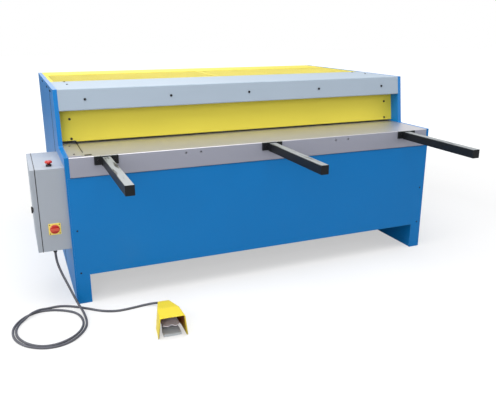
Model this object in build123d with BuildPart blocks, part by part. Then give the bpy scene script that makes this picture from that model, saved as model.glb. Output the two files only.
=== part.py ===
from build123d import *
import math
import os

# An electric sheet-metal shear: a steel frame between two side plates, a work table with three
# support arms, a fixed finger guard, a cut-off zone closed by mesh guards, an electrical cabinet
# on the left side and a foot switch on a cable.
# All distances are in millimetres. They are measured from the left side's outer face, from the
# front panel's rear face and from the floor, and the three view planes below carry the shift to
# the part's own origin, which lies on the floor under the middle of the whole machine.

# Main frame
frame_width = 2400
machine_depth = 1730
table_height = 855
side_rise = 325
plate_thickness = 25
front_step = 306
slant_run = 46
step_corner = 12
cover_seam = 600
cover_sheet = 2.5
cover_bend = 4
leg_width = 53
leg_height = 172
leg_wall = 5
leg_length = 1640

# Front panel
panel_sheet = 3
panel_margin = 8
panel_foot_width = 75
panel_top_gap = 4
panel_lip = 20

# Work table
table_reach = 8
apron_height = 110
apron_thickness = 22
table_thickness = 40
table_rear = 470
table_edge_chamfer = 2.5
table_root_radius = 12
gauge_groove_x = 112
gauge_groove_width = 6
gauge_groove_depth = 6
gauge_groove_front = 110
bed_web = 30
bed_depth = 420
bed_flange = 160
bed_flange_thickness = 20

# Side gauge
gauge_bar_width = 72
gauge_bar_height = 4
gauge_bar_front = 12
gauge_notch = 8
clamp_length = 38
clamp_width = 14
clamp_height = 3
clamp_y = 34

# Blades, blade beam and hold-down
blade_width = 20
blade_height = 70
blade_opening = 14
blade_gap = 0.3
blade_bolt_radius = 7
blade_bolt_count = 6
beam_web = 30
beam_headroom = 63
beam_flange = 150
beam_flange_thickness = 25
beam_lift = 8
hold_beam_width = 32
hold_beam_height = 70
hold_beam_lift = 90
hold_foot_count = 12
hold_foot_length = 90
hold_foot_width = 26
hold_foot_chamfer = 6
hold_clearance = 14

# Finger guard
guard_sheet = 3
guard_setback = 85
guard_lift = 10
guard_overlap = 45
guard_lip = 14
guard_side_flange = 28
guard_bend = 5

# Beam cover
cover_drop = 123
cover_depth = 510
cover_metal = 3
cover_lip = 22
cover_fold = 6

# Top and rear guards
top_guard_rear = 1440
guard_bar = 22
guard_bar_height = 14
guard_wire = 6
guard_pitch = 195
guard_sink = 2
rear_cover_drop = 96
rear_cover_sheet = 2.5
rear_guard_bottom = 520
crossbeam_height = 90
crossbeam_depth = 60
crossbeam_lift = 70
crossbeam_wall = 5
chute_drop = 215
chute_bottom = 230
chute_sheet = 3
chute_lip = 30

# Back gauge
gauge_beam_height = 60
gauge_beam_thickness = 25
gauge_beam_y = 980
gauge_beam_drop = 37
gauge_beam_clearance = 60
spindle_radius = 16
spindle_inset = 380
spindle_end = 1250

# Support arms
arm_first_x = 220
arm_last_inset = 196
arm_width = 45
arm_height = 50
arm_drop = 5
arm_reach = 650
arm_chamfer = 2
arm_flange_width = 130
arm_flange_height = 48
arm_flange_thickness = 12
arm_bolt_spacing = 90
arm_bolt_radius = 5.5
arm_bolt_drop = 24
arm_bolt_depth = 20

# Electrical cabinet
cabinet_depth = 176
cabinet_front = 18
cabinet_rear = 470
cabinet_bottom = 336
cabinet_top = 801
cabinet_sheet = 2
cabinet_bend = 3
door_depth = 24
door_gap = 1
hinge_radius = 6
hinge_pin_radius = 3
hinge_knuckle = 18
hinge_inset = 90
hinge_clearance = 0.3
inner_plate_margin = 25
inner_plate_standoff = 12
inner_plate_sheet = 2
standoff_radius = 6

# Door latch
latch_height = 575
latch_inset = 34
latch_shaft_radius = 8
latch_flange_radius = 12
latch_flange = 3
latch_wing_length = 36
latch_wing_width = 9
latch_reach = 12
latch_cam_length = 26
latch_cam_width = 14
latch_cam_thickness = 3
running_gap = 0.3

# Main switch
switch_x = 80
switch_height = 463
switch_plate_size = 65
switch_plate_thickness = 2
switch_plate_corner = 5
switch_knob_radius = 25
switch_knob_depth = 9
switch_knob_chamfer = 3
switch_bar_length = 44
switch_bar_width = 13
switch_bar_reach = 17
switch_shaft_radius = 5

# Stop button
stop_x = 74
stop_y = 84
stop_base_radius = 15
stop_base_height = 10
stop_shaft_radius = 8
stop_head_radius = 20
stop_head_height = 15
stop_head_crown = 4
stop_gap = 7
stop_tail = 30

# Cable and its glands
cable_diameter = 11
cable_facets = 8
gland_x = 88
gland_y = 50
gland_nut_radius = 14
gland_nut_height = 8
gland_cap_radius = 11
gland_cap_sides = 12
gland_cap_height = 13
gland_cap_chamfer = 4
gland_tail = 10

# Foot switch: a moulded hood over a base and a sprung treadle
pedal_x = 410
pedal_y = -560
pedal_turn = -4
hood_front_width = 152
hood_roof_width = 130
hood_front_height = 117
hood_middle_width = 140
hood_middle_roof = 116
hood_middle_height = 112
hood_middle_y = 110
hood_rear_width = 84
hood_rear_roof = 66
hood_rear_height = 84
hood_length = 250
hood_wall = 4
hood_edge = 9
pedal_base_clearance = 6
pedal_base_length = 236
pedal_base_height = 12
pedal_base_corner = 8
pedal_cheek = 6
treadle_clearance = 1
treadle_sheet = 3
treadle_front = 38
treadle_notch = 12
treadle_side = 9
treadle_lift = 6
pivot_y = 182
pivot_height = 42
pivot_radius = 4
pivot_boss_radius = 8
pedal_gland_radius = 12
pedal_gland_length = 32
pedal_gland_height = 30
pedal_gland_straight = 52

# Places that follow from the sizes above
side_height = table_height + side_rise
door_reach = cabinet_depth + latch_reach
left_x = (door_reach - frame_width) / 2
front_y = (arm_reach - machine_depth) / 2
inner_left = plate_thickness
inner_right = frame_width - plate_thickness
inner_width = inner_right - inner_left
slant = slant_run / side_rise
apron_bottom = table_height - apron_height
hold_beam_bottom = table_height + hold_beam_lift
arm_pitch = (frame_width - arm_first_x - arm_last_inset) / 4
guard_bottom = table_height + guard_lift
cover_bottom = side_height - cover_drop
box_outer = -(cabinet_depth - door_depth)
pedal_base_width = hood_rear_width - 2 * hood_wall - pedal_base_clearance


def cross_section(x):
    """A plane across the machine at this distance from the left side, seen from the right."""
    return Plane((left_x + x, front_y, 0), x_dir=(0, 1, 0), z_dir=(1, 0, 0))


def floor_plan(z):
    """A level plane at this height, seen from above."""
    return Plane((left_x, front_y, z), x_dir=(1, 0, 0), z_dir=(0, 0, 1))


def front_view(y):
    """An upright plane at this distance behind the front, seen from the front."""
    return Plane((left_x, front_y + y, 0), x_dir=(1, 0, 0), z_dir=(0, -1, 0))


def slant_y(z):
    """The distance behind the front of the side plates' slanted front edge at this height."""
    return front_step + (z - table_height) * slant


os.makedirs("parts", exist_ok=True)
finished = []


def finish_piece(piece, name):
    """Label a finished piece and write it to its own file."""
    piece.part.label = name
    export_step(piece.part, f"parts/{name}.step")
    finished.append(name)


# Side plates, flame cut, with the step for the table and the slanted front edge above it
def make_side_plate(name, x):
    with BuildPart() as plate:
        with BuildSketch(cross_section(x)) as outline:
            with BuildLine():
                Polyline(
                    (0, 0),
                    (0, table_height),
                    (front_step, table_height),
                    (slant_y(side_height), side_height),
                    (cover_seam, side_height),
                    (cover_seam, 0),
                    close=True,
                )
            make_face()
            inner_corner = outline.vertices().sort_by_distance((front_step, table_height, 0))[0]
            fillet(inner_corner, radius=step_corner)
        extrude(amount=plate_thickness)
    finish_piece(plate, name)


make_side_plate("left_side_plate", 0)
make_side_plate("right_side_plate", inner_right)


# Rear side covers, each a shallow tray of folded sheet in line with its side plate
def make_side_cover(name, outer_x, inward):
    cover_length = machine_depth - cover_seam
    with BuildPart() as cover:
        with BuildSketch(cross_section(outer_x)):
            with Locations((cover_seam + cover_length / 2, side_height / 2)):
                Rectangle(cover_length, side_height)
        extrude(amount=plate_thickness * inward)
        outer_face = cover.faces().filter_by(Axis.X).sort_by(Axis.X)[0 if inward > 0 else -1]
        upright_edges = outer_face.edges().filter_by(Axis.Z)
        fillet(upright_edges, radius=cover_bend)
        with BuildSketch(cross_section(outer_x + cover_sheet * inward)):
            with Locations((cover_seam + cover_length / 2, side_height / 2)):
                Rectangle(cover_length - 2 * cover_bend, side_height - 2 * cover_bend)
        extrude(amount=(plate_thickness - cover_sheet) * inward, mode=Mode.SUBTRACT)
    finish_piece(cover, name)


make_side_cover("left_side_cover", 0, 1)
make_side_cover("right_side_cover", frame_width, -1)


# Leg boxes, welded along the foot of each side
def make_leg_box(name, x):
    with BuildPart() as leg:
        with BuildSketch(front_view(leg_length)):
            with Locations((x + leg_width / 2, leg_height / 2)):
                Rectangle(leg_width, leg_height)
                Rectangle(leg_width - 2 * leg_wall, leg_height - 2 * leg_wall, mode=Mode.SUBTRACT)
        extrude(amount=leg_length)
    finish_piece(leg, name)


make_leg_box("left_leg_box", inner_left)
make_leg_box("right_leg_box", inner_right - leg_width)

# Front panel, one sheet with two feet and a lip folded back over the opening between them
with BuildPart() as front_panel:
    panel_right = frame_width - panel_margin
    panel_top = apron_bottom - panel_top_gap
    opening_left = panel_margin + panel_foot_width
    opening_right = panel_right - panel_foot_width
    with BuildSketch(front_view(0)) as panel_outline:
        with BuildLine():
            Polyline(
                (panel_margin, 0),
                (opening_left, 0),
                (opening_left, leg_height),
                (opening_right, leg_height),
                (opening_right, 0),
                (panel_right, 0),
                (panel_right, panel_top),
                (panel_margin, panel_top),
                close=True,
            )
        make_face()
    extrude(amount=panel_sheet)
    with BuildSketch(front_view(panel_lip)):
        with Locations(((opening_left + opening_right) / 2, leg_height + panel_sheet / 2)):
            Rectangle(opening_right - opening_left, panel_sheet)
    extrude(amount=panel_lip)
finish_piece(front_panel, "front_panel")

# Work table, a planed plate with its front apron, the gauge groove and the spare arm holes
spare_arm_x = [arm_first_x + arm_pitch, arm_first_x + 3 * arm_pitch]
arm_bolt_z = table_height - arm_bolt_drop
with BuildPart() as work_table:
    with BuildSketch(cross_section(inner_left)):
        with BuildLine():
            Polyline(
                (-table_reach, apron_bottom),
                (-table_reach, table_height - table_edge_chamfer),
                (-table_reach + table_edge_chamfer, table_height),
                (table_rear, table_height),
                (table_rear, table_height - table_thickness),
                (apron_thickness - table_reach, table_height - table_thickness),
                (apron_thickness - table_reach, apron_bottom),
                close=True,
            )
        make_face()
    extrude(amount=inner_width)
    table_root = work_table.edges().filter_by(Axis.X).sort_by_distance(
        (0, front_y + apron_thickness - table_reach, table_height - table_thickness)
    )[0]
    fillet(table_root, radius=table_root_radius)
    with BuildSketch(floor_plan(table_height - gauge_groove_depth)):
        groove_length = table_rear - gauge_groove_front
        with Locations((gauge_groove_x, gauge_groove_front + groove_length / 2)):
            Rectangle(gauge_groove_width, groove_length)
    extrude(amount=gauge_groove_depth, mode=Mode.SUBTRACT)
    with BuildSketch(front_view(-table_reach)):
        for station_x in spare_arm_x:
            with Locations((station_x, arm_bolt_z)):
                with GridLocations(arm_bolt_spacing, 0, 2, 1):
                    Circle(arm_bolt_radius)
    extrude(amount=-arm_bolt_depth, mode=Mode.SUBTRACT)
finish_piece(work_table, "work_table")

# Table bed, the upright web under the table's rear edge with a stiffening foot
bed_top = table_height - table_thickness
bed_rear = table_rear
bed_bottom = bed_top - bed_depth
with BuildPart() as table_bed:
    with BuildSketch(cross_section(inner_left)):
        with BuildLine():
            Polyline(
                (bed_rear - bed_web, bed_top),
                (bed_rear, bed_top),
                (bed_rear, bed_bottom),
                (bed_rear - bed_flange, bed_bottom),
                (bed_rear - bed_flange, bed_bottom + bed_flange_thickness),
                (bed_rear - bed_web, bed_bottom + bed_flange_thickness),
                close=True,
            )
        make_face()
    extrude(amount=inner_width)
finish_piece(table_bed, "table_bed")

# Side gauge, a flat bar along the table's left end, and the clamp of its stop
with BuildPart() as side_gauge:
    with BuildSketch(floor_plan(table_height)):
        gauge_length = table_rear - gauge_bar_front
        with Locations((inner_left + gauge_bar_width / 2, gauge_bar_front + gauge_length / 2)):
            Rectangle(gauge_bar_width, gauge_length)
    extrude(amount=gauge_bar_height)
finish_piece(side_gauge, "side_gauge")

with BuildPart() as gauge_clamp:
    with BuildSketch(floor_plan(table_height)):
        with Locations((gauge_groove_x + clamp_length / 2, clamp_y)):
            RectangleRounded(clamp_length, clamp_width, clamp_height)
    extrude(amount=clamp_height)
finish_piece(gauge_clamp, "gauge_clamp")

# Lower blade, bolted to the table's rear face
lower_blade_z = table_height - blade_height / 2
lower_blade_rear = table_rear + blade_width
with BuildPart() as lower_blade:
    with BuildSketch(front_view(lower_blade_rear)):
        with Locations((frame_width / 2, lower_blade_z)):
            Rectangle(inner_width, blade_height)
    extrude(amount=blade_width)
    with BuildSketch(front_view(lower_blade_rear)):
        with Locations((frame_width / 2, lower_blade_z)):
            with GridLocations(inner_width / blade_bolt_count, 0, blade_bolt_count, 1):
                RegularPolygon(blade_bolt_radius, 6)
    extrude(amount=blade_width, mode=Mode.SUBTRACT)
finish_piece(lower_blade, "lower_blade")

# Upper blade and the blade beam that carries it, raised above the table
upper_blade_front = lower_blade_rear + blade_gap
upper_blade_rear = upper_blade_front + blade_width
upper_blade_bottom = table_height + blade_opening
upper_blade_z = upper_blade_bottom + blade_height / 2
with BuildPart() as upper_blade:
    with BuildSketch(front_view(upper_blade_rear)):
        with Locations((frame_width / 2, upper_blade_z)):
            Rectangle(inner_width, blade_height)
    extrude(amount=blade_width)
finish_piece(upper_blade, "upper_blade")

beam_bottom = upper_blade_bottom + beam_lift
beam_top = side_height - beam_headroom
with BuildPart() as blade_beam:
    with BuildSketch(cross_section(inner_left)):
        with BuildLine():
            Polyline(
                (upper_blade_rear, beam_bottom),
                (upper_blade_rear, beam_top),
                (upper_blade_rear + beam_flange, beam_top),
                (upper_blade_rear + beam_flange, beam_top - beam_flange_thickness),
                (upper_blade_rear + beam_web, beam_top - beam_flange_thickness),
                (upper_blade_rear + beam_web, beam_bottom + beam_flange_thickness),
                (upper_blade_rear + beam_flange, beam_bottom + beam_flange_thickness),
                (upper_blade_rear + beam_flange, beam_bottom),
                close=True,
            )
        make_face()
    extrude(amount=inner_width)
finish_piece(blade_beam, "blade_beam")

# Hold-down beam behind the guard, with its row of shoes
hold_y = upper_blade_front - hold_beam_width / 2 - guard_sheet
foot_pitch = inner_width / hold_foot_count
hold_foot_bottom = table_height + hold_clearance
with BuildPart() as hold_down_beam:
    with BuildSketch(cross_section(inner_left)):
        with Locations((hold_y, hold_beam_bottom + hold_beam_height / 2)):
            Rectangle(hold_beam_width, hold_beam_height)
    extrude(amount=inner_width)
finish_piece(hold_down_beam, "hold_down_beam")

with BuildPart() as hold_down_feet:
    with BuildSketch(floor_plan(hold_beam_bottom)):
        with Locations((frame_width / 2, hold_y)):
            with GridLocations(foot_pitch, 0, hold_foot_count, 1):
                Rectangle(hold_foot_length, hold_foot_width)
    extrude(amount=hold_foot_bottom - hold_beam_bottom)
    shoe_edges = hold_down_feet.faces().sort_by(Axis.Z)[:hold_foot_count].edges().filter_by(Axis.Y)
    chamfer(shoe_edges, length=hold_foot_chamfer)
finish_piece(hold_down_feet, "hold_down_feet")

# Finger guard, a folded sheet parallel to the slanted edges, with a flange at each side plate
guard_top = cover_bottom + guard_overlap


def guard_y(z):
    """The distance behind the front of the guard's front face at this height."""
    return slant_y(z) + guard_setback


with BuildPart() as finger_guard:
    with BuildSketch(cross_section(inner_left)):
        with BuildLine():
            FilletPolyline(
                (guard_y(guard_bottom) + guard_lip, guard_bottom),
                (guard_y(guard_bottom), guard_bottom),
                (guard_y(guard_top), guard_top),
                (guard_y(guard_top) + guard_lip, guard_top),
                radius=guard_bend,
            )
            offset(amount=guard_sheet, side=Side.RIGHT)
        make_face()
    extrude(amount=inner_width)
    for flange_x in (inner_left, inner_right - guard_sheet):
        with BuildSketch(cross_section(flange_x)):
            with BuildLine():
                Polyline(
                    (guard_y(guard_bottom + guard_bend), guard_bottom + guard_bend),
                    (guard_y(guard_top - guard_bend), guard_top - guard_bend),
                    (guard_y(guard_top - guard_bend) + guard_side_flange, guard_top - guard_bend),
                    (guard_y(guard_bottom + guard_bend) + guard_side_flange, guard_bottom + guard_bend),
                    close=True,
                )
            make_face()
        extrude(amount=guard_sheet)
    with BuildSketch(front_view(table_rear)):
        notch_width = gauge_groove_x - inner_left
        with Locations((inner_left + notch_width / 2, guard_bottom + gauge_notch / 2)):
            Rectangle(notch_width, gauge_notch)
    extrude(amount=table_rear - front_step, mode=Mode.SUBTRACT)
finish_piece(finger_guard, "finger_guard")

# Beam cover, one folded sheet: a lip, the slanted front, the top and a fold down at the rear
cover_rear = slant_y(side_height) + cover_depth
with BuildPart() as beam_cover:
    with BuildSketch(cross_section(inner_left)):
        with BuildLine():
            FilletPolyline(
                (slant_y(cover_bottom) + cover_lip, cover_bottom),
                (slant_y(cover_bottom), cover_bottom),
                (slant_y(side_height), side_height),
                (cover_rear, side_height),
                (cover_rear, side_height - cover_lip),
                radius=cover_fold,
            )
            offset(amount=cover_metal, side=Side.RIGHT)
        make_face()
    extrude(amount=inner_width)
finish_piece(beam_cover, "beam_cover")


# Mesh guards: a frame of flat bars with a welded grid, one piece each
def grid_positions(length):
    """How many wires stand between two frame bars, and how far apart."""
    count = round(length / guard_pitch) - 1
    return count, length / (count + 1)


top_guard_z = side_height - guard_sink - guard_bar_height
top_guard_depth = top_guard_rear - cover_rear
with BuildPart() as top_guard:
    guard_middle = (cover_rear + top_guard_rear) / 2
    field_width = (inner_width - 3 * guard_bar) / 2
    with BuildSketch(floor_plan(top_guard_z)):
        with Locations((frame_width / 2, guard_middle)):
            Rectangle(inner_width, top_guard_depth)
        for half in (-1, 1):
            with Locations((frame_width / 2 + half * (inner_width - guard_bar) / 4, guard_middle)):
                Rectangle(field_width, top_guard_depth - 2 * guard_bar, mode=Mode.SUBTRACT)
    extrude(amount=guard_bar_height)
    wire_plane_z = top_guard_z + (guard_bar_height - guard_wire) / 2
    long_count, long_pitch = grid_positions(top_guard_depth)
    cross_count, cross_pitch = grid_positions(inner_width)
    with BuildSketch(floor_plan(wire_plane_z)):
        with Locations((frame_width / 2, guard_middle)):
            with GridLocations(0, long_pitch, 1, long_count):
                Rectangle(inner_width - guard_bar, guard_wire)
            with GridLocations(cross_pitch, 0, cross_count, 1):
                Rectangle(guard_wire, top_guard_depth - guard_bar)
    extrude(amount=guard_wire)
finish_piece(top_guard, "top_guard")

# Rear cover, the folded sheet that closes the top behind the mesh and turns down at the rear
with BuildPart() as rear_cover:
    with BuildSketch(cross_section(inner_left)):
        with BuildLine():
            FilletPolyline(
                (top_guard_rear, side_height - cover_lip),
                (top_guard_rear, side_height),
                (machine_depth, side_height),
                (machine_depth, side_height - rear_cover_drop),
                radius=cover_fold,
            )
            offset(amount=rear_cover_sheet, side=Side.RIGHT)
        make_face()
    extrude(amount=inner_width)
finish_piece(rear_cover, "rear_cover")

rear_guard_top = side_height - rear_cover_drop
rear_guard_height = rear_guard_top - rear_guard_bottom
with BuildPart() as rear_guard:
    guard_centre_z = (rear_guard_top + rear_guard_bottom) / 2
    with BuildSketch(front_view(machine_depth)):
        with Locations((frame_width / 2, guard_centre_z)):
            Rectangle(inner_width, rear_guard_height)
        for half in (-1, 1):
            with Locations((frame_width / 2 + half * (inner_width - guard_bar) / 4, guard_centre_z)):
                Rectangle(field_width, rear_guard_height - 2 * guard_bar, mode=Mode.SUBTRACT)
    extrude(amount=guard_bar_height)
    wire_y = machine_depth - (guard_bar_height - guard_wire) / 2
    rise_count, rise_pitch = grid_positions(rear_guard_height)
    side_count, side_pitch = grid_positions(inner_width)
    with BuildSketch(front_view(wire_y)):
        with Locations((frame_width / 2, guard_centre_z)):
            with GridLocations(0, rise_pitch, 1, rise_count):
                Rectangle(inner_width - guard_bar, guard_wire)
            with GridLocations(side_pitch, 0, side_count, 1):
                Rectangle(guard_wire, rear_guard_height - guard_bar)
    extrude(amount=guard_wire)
finish_piece(rear_guard, "rear_guard")

# Cut-off chute, a sloping sheet that leads offcuts out under the rear guard
with BuildPart() as chute_plate:
    chute_top = table_height - chute_drop
    chute_end = machine_depth - crossbeam_depth - chute_lip
    with BuildSketch(cross_section(inner_left)):
        with BuildLine():
            FilletPolyline(
                (bed_rear, chute_top + chute_lip),
                (bed_rear, chute_top),
                (chute_end, chute_bottom),
                (chute_end + chute_lip, chute_bottom - chute_lip),
                radius=cover_fold,
            )
            offset(amount=chute_sheet, side=Side.LEFT)
        make_face()
    extrude(amount=inner_width)
finish_piece(chute_plate, "chute_plate")

# Rear crossbeam, a box section low between the sides
crossbeam_y = machine_depth - crossbeam_depth
with BuildPart() as rear_crossbeam:
    with BuildSketch(cross_section(inner_left + leg_width)):
        with Locations((crossbeam_y, crossbeam_lift + crossbeam_height / 2)):
            RectangleRounded(crossbeam_depth, crossbeam_height, crossbeam_wall)
            Rectangle(
                crossbeam_depth - 2 * crossbeam_wall,
                crossbeam_height - 2 * crossbeam_wall,
                mode=Mode.SUBTRACT,
            )
    extrude(amount=inner_width - 2 * leg_width)
finish_piece(rear_crossbeam, "rear_crossbeam")

# Back gauge, a stop bar on two spindles that stand out of the blade beam's lower flange
with BuildPart() as back_gauge:
    gauge_beam_bottom = beam_bottom - gauge_beam_drop
    gauge_width = inner_width - 2 * gauge_beam_clearance
    with BuildSketch(front_view(gauge_beam_y + gauge_beam_thickness)):
        with Locations((frame_width / 2, gauge_beam_bottom + gauge_beam_height / 2)):
            Rectangle(gauge_width, gauge_beam_height)
    extrude(amount=gauge_beam_thickness)
    spindle_z = beam_bottom + beam_flange_thickness / 2
    spindle_start = upper_blade_rear + beam_flange
    with BuildSketch(front_view(spindle_end)):
        with Locations((frame_width / 2, spindle_z)):
            with GridLocations(inner_width - 2 * spindle_inset, 0, 2, 1):
                Circle(spindle_radius)
    extrude(amount=spindle_end - spindle_start)
finish_piece(back_gauge, "back_gauge")


# Support arms, a square bar welded to a bolting flange on the apron
def make_support_arm(name, x):
    arm_top = table_height - arm_drop
    flange_y = -table_reach - arm_flange_thickness
    flange_z = arm_bolt_z
    with BuildPart() as arm:
        with BuildSketch(front_view(flange_y)):
            with Locations((x, arm_top - arm_height / 2)):
                Rectangle(arm_width, arm_height)
        extrude(amount=arm_reach + flange_y)
        chamfer(arm.edges().filter_by(Axis.Y), length=arm_chamfer)
        with BuildSketch(front_view(-table_reach)):
            with Locations((x, flange_z)):
                Rectangle(arm_flange_width, arm_flange_height)
                with GridLocations(arm_bolt_spacing, 0, 2, 1):
                    Circle(arm_bolt_radius, mode=Mode.SUBTRACT)
        extrude(amount=arm_flange_thickness)
    finish_piece(arm, name)


make_support_arm("support_arm_left", arm_first_x)
make_support_arm("support_arm_middle", arm_first_x + 2 * arm_pitch)
make_support_arm("support_arm_right", arm_first_x + 4 * arm_pitch)

# Electrical cabinet, a box of folded sheet on the left side, open towards its door
cabinet_length = cabinet_rear - cabinet_front
cabinet_height = cabinet_top - cabinet_bottom
cabinet_middle_y = (cabinet_front + cabinet_rear) / 2
cabinet_middle_z = (cabinet_top + cabinet_bottom) / 2
with BuildPart() as cabinet_box:
    with BuildSketch(cross_section(0)):
        with Locations((cabinet_middle_y, cabinet_middle_z)):
            Rectangle(cabinet_length, cabinet_height)
    extrude(amount=box_outer)
    fillet(cabinet_box.edges().filter_by(Axis.X), radius=cabinet_bend)
    with BuildSketch(cross_section(-cabinet_sheet)):
        with Locations((cabinet_middle_y, cabinet_middle_z)):
            Rectangle(cabinet_length - 2 * cabinet_sheet, cabinet_height - 2 * cabinet_sheet)
    extrude(amount=box_outer + cabinet_sheet, mode=Mode.SUBTRACT)
    with BuildSketch(floor_plan(cabinet_top)):
        with Locations((-stop_x, stop_y)):
            Circle(stop_shaft_radius + running_gap)
    extrude(amount=-cabinet_sheet, mode=Mode.SUBTRACT)
    with BuildSketch(floor_plan(cabinet_bottom)):
        with Locations((-gland_x, gland_y)):
            RegularPolygon(gland_cap_radius, gland_cap_sides)
    extrude(amount=cabinet_sheet, mode=Mode.SUBTRACT)
    with BuildSketch(front_view(cabinet_front)):
        with Locations((-switch_x, switch_height)):
            Circle(switch_shaft_radius + running_gap)
    extrude(amount=-cabinet_sheet, mode=Mode.SUBTRACT)
finish_piece(cabinet_box, "cabinet_box")

# Cabinet door, a shallow tray with its hinge knuckles and the hole for the latch
hinge_x = box_outer - door_gap / 2
hinge_y = cabinet_rear + hinge_radius + hinge_clearance
hinge_heights = [cabinet_bottom + hinge_inset, cabinet_top - hinge_inset]
latch_y = cabinet_front + latch_inset
with BuildPart() as cabinet_door:
    door_inner = box_outer - door_gap
    with BuildSketch(cross_section(door_inner)):
        with Locations((cabinet_middle_y, cabinet_middle_z)):
            Rectangle(cabinet_length, cabinet_height)
    extrude(amount=-(door_depth - door_gap))
    fillet(cabinet_door.edges().filter_by(Axis.X), radius=cabinet_bend)
    with BuildSketch(cross_section(door_inner)):
        with Locations((cabinet_middle_y, cabinet_middle_z)):
            Rectangle(cabinet_length - 2 * cabinet_sheet, cabinet_height - 2 * cabinet_sheet)
    extrude(amount=-(door_depth - door_gap - cabinet_sheet), mode=Mode.SUBTRACT)
    with BuildSketch(cross_section(-cabinet_depth)):
        with Locations((latch_y, latch_height)):
            Circle(latch_shaft_radius + running_gap)
    extrude(amount=cabinet_sheet, mode=Mode.SUBTRACT)
    for height in hinge_heights:
        with BuildSketch(floor_plan(height)):
            with Locations((hinge_x, hinge_y)):
                Circle(hinge_radius)
            with Locations((hinge_x - hinge_radius, cabinet_rear + hinge_radius / 2)):
                Rectangle(2 * hinge_radius, hinge_radius)
            with Locations((hinge_x, hinge_y)):
                Circle(hinge_pin_radius + hinge_clearance, mode=Mode.SUBTRACT)
        extrude(amount=hinge_knuckle)
finish_piece(cabinet_door, "cabinet_door")

# Hinges on the cabinet's rear face: a fixed knuckle and its pin, one above the other
with BuildPart() as cabinet_hinges:
    for height in hinge_heights:
        with BuildSketch(floor_plan(height - hinge_clearance)):
            with Locations((hinge_x, hinge_y)):
                Circle(hinge_radius)
            with Locations((hinge_x + hinge_radius, cabinet_rear + hinge_radius / 2)):
                Rectangle(2 * hinge_radius, hinge_radius)
        extrude(amount=-hinge_knuckle)
        with BuildSketch(floor_plan(height - hinge_clearance)):
            with Locations((hinge_x, hinge_y)):
                Circle(hinge_pin_radius)
        extrude(amount=hinge_knuckle + 2 * hinge_clearance)
finish_piece(cabinet_hinges, "cabinet_hinges")

# Mounting plate inside the cabinet, on four standoffs from its back wall
with BuildPart() as mounting_plate:
    plate_x = -cabinet_sheet - inner_plate_standoff
    plate_length = cabinet_length - 2 * inner_plate_margin
    plate_height = cabinet_height - 2 * inner_plate_margin
    with BuildSketch(cross_section(plate_x)):
        with Locations((cabinet_middle_y, cabinet_middle_z)):
            Rectangle(plate_length, plate_height)
    extrude(amount=-inner_plate_sheet)
    with BuildSketch(cross_section(plate_x)):
        with Locations((cabinet_middle_y, cabinet_middle_z)):
            with GridLocations(plate_length - 4 * standoff_radius, plate_height - 4 * standoff_radius, 2, 2):
                RegularPolygon(standoff_radius, 6)
    extrude(amount=inner_plate_standoff)
finish_piece(mounting_plate, "mounting_plate")

# Door latch, a quarter-turn wing with its shaft through the door and a cam behind it
with BuildPart() as door_latch:
    wing_reach = latch_reach - latch_flange - running_gap
    with BuildSketch(cross_section(-cabinet_depth - running_gap)):
        with Locations((latch_y, latch_height)):
            Circle(latch_flange_radius)
    extrude(amount=-latch_flange)
    with BuildSketch(cross_section(-cabinet_depth - running_gap - latch_flange)):
        with Locations((latch_y, latch_height)):
            Rectangle(latch_wing_width, latch_wing_length)
    extrude(amount=-wing_reach)
    with BuildSketch(cross_section(-cabinet_depth - running_gap)):
        with Locations((latch_y, latch_height)):
            Circle(latch_shaft_radius)
    extrude(amount=cabinet_sheet + 2 * running_gap)
    with BuildSketch(cross_section(-cabinet_depth + cabinet_sheet + running_gap)):
        with Locations((latch_y - latch_cam_length / 2 + latch_cam_width / 2, latch_height)):
            Rectangle(latch_cam_length, latch_cam_width)
    extrude(amount=latch_cam_thickness)
finish_piece(door_latch, "door_latch")

# Main switch: a square plate and a round knob with a grip bar across it
switch_front = cabinet_front - switch_plate_thickness
with BuildPart() as switch_plate:
    with BuildSketch(front_view(cabinet_front)):
        with Locations((-switch_x, switch_height)):
            RectangleRounded(switch_plate_size, switch_plate_size, switch_plate_corner)
            Circle(switch_shaft_radius + running_gap, mode=Mode.SUBTRACT)
    extrude(amount=switch_plate_thickness)
finish_piece(switch_plate, "switch_plate")

with BuildPart() as switch_knob:
    with BuildSketch(front_view(switch_front - running_gap)):
        with Locations((-switch_x, switch_height)):
            Circle(switch_knob_radius)
    extrude(amount=switch_knob_depth)
    chamfer(switch_knob.edges().sort_by(Axis.Y)[0], length=switch_knob_chamfer)
    with BuildSketch(front_view(switch_front - running_gap - switch_knob_depth)):
        with Locations((-switch_x, switch_height)):
            Rectangle(switch_bar_length, switch_bar_width)
    extrude(amount=switch_bar_reach - switch_knob_depth)
    with BuildSketch(front_view(switch_front - running_gap)):
        with Locations((-switch_x, switch_height)):
            Circle(switch_shaft_radius)
    extrude(amount=-(switch_plate_thickness + cabinet_sheet + 4 * running_gap))
finish_piece(switch_knob, "switch_knob")

# Stop button on the cabinet's top: a collar and a mushroom head on its shaft
stop_bore = stop_shaft_radius + running_gap
with BuildPart() as stop_base:
    with BuildSketch(floor_plan(cabinet_top)):
        with Locations((-stop_x, stop_y)):
            Circle(stop_base_radius)
            Circle(stop_bore, mode=Mode.SUBTRACT)
    extrude(amount=stop_base_height)
finish_piece(stop_base, "stop_base")

stop_head_bottom = cabinet_top + stop_base_height + stop_gap
with BuildPart() as stop_button:
    with BuildSketch(floor_plan(cabinet_top - stop_tail)):
        with Locations((-stop_x, stop_y)):
            Circle(stop_shaft_radius)
    extrude(amount=stop_head_bottom - cabinet_top + stop_tail)
    with BuildSketch(floor_plan(stop_head_bottom)):
        with Locations((-stop_x, stop_y)):
            Circle(stop_head_radius)
    extrude(amount=stop_head_height)
    top_rim = stop_button.edges().sort_by(Axis.Z)[-1]
    chamfer(top_rim, length=stop_head_crown, length2=2 * stop_head_crown)
finish_piece(stop_button, "stop_button")

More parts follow.
